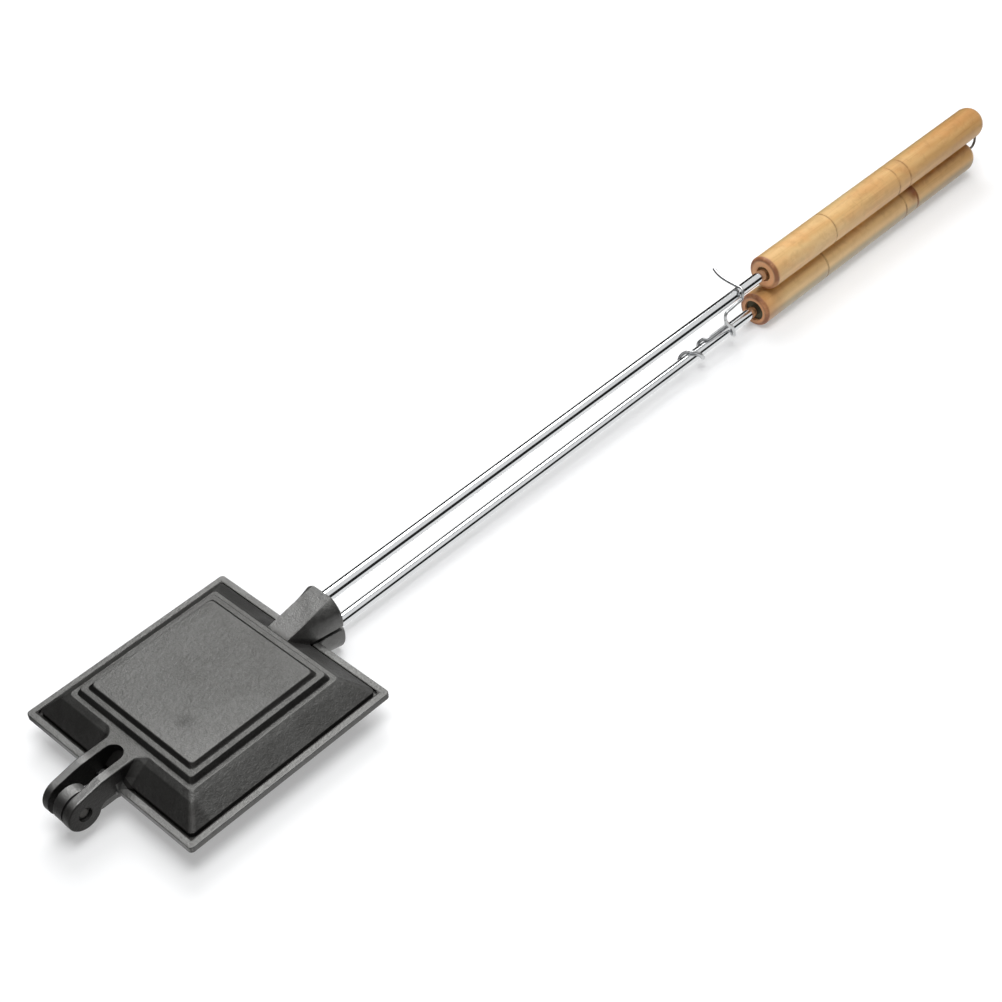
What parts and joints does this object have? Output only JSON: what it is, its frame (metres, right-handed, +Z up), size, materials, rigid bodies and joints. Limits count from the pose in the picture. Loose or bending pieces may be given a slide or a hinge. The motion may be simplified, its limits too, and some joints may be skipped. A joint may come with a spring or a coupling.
{
  "type": "sandwich iron",
  "caption": "Long-handled camp fire sandwich iron: two hinged square cast pans with a stepped back, a steel rod and a turned wooden grip on each, and a wire latch between the rods.",
  "frame": {"origin": "middle of the lower pan's flat back, the face the pan stands on", "axes": "+X along the handles away from the pans, +Z up from the lower pan to the upper pan, +Y across the pans"},
  "size_m": [0.6754, 0.112, 0.0388],
  "materials": {
    "cast_iron": "sand-cast iron, dark grey, fine pebbled skin",
    "rivet_steel": "dull drawn steel",
    "plated_steel": "bright plated, smooth",
    "turned_wood": "honey-coloured hardwood under clear lacquer",
    "washer_steel": "dark oiled steel",
    "latch_wire": "bright plated spring wire",
    "hook_wire": "dark drawn wire"
  },
  "bodies": {
    "lower_half": {"lower_pan": "cast_iron", "lower_rod": "plated_steel", "lower_handle": "turned_wood", "lower_washer": "washer_steel"},
    "upper_half": {"upper_pan": "cast_iron", "hinge_pin": "rivet_steel", "upper_rod": "plated_steel", "upper_handle": "turned_wood", "hook_eye": "hook_wire"},
    "latch": {"wire_latch": "latch_wire"},
    "hook": {"closing_hook": "hook_wire"}
  },
  "joints": [
    {"name": "pan_hinge", "type": "hinge", "parent": "lower_half", "child": "upper_half", "pos_m": [-0.073, 0, 0.0156], "axis": [0, -1, 0], "range_deg": [0, 180]},
    {"name": "latch_swing", "type": "hinge", "parent": "lower_half", "child": "latch", "pos_m": [0.345, 0, 0.0056], "axis": [1, 0, 0], "range_deg": [0, 100]},
    {"name": "hook_swing", "type": "hinge", "parent": "upper_half", "child": "hook", "pos_m": [0.5908, 0, 0.0206], "axis": [0, -1, 0], "range_deg": [0, 120]}
  ]
}
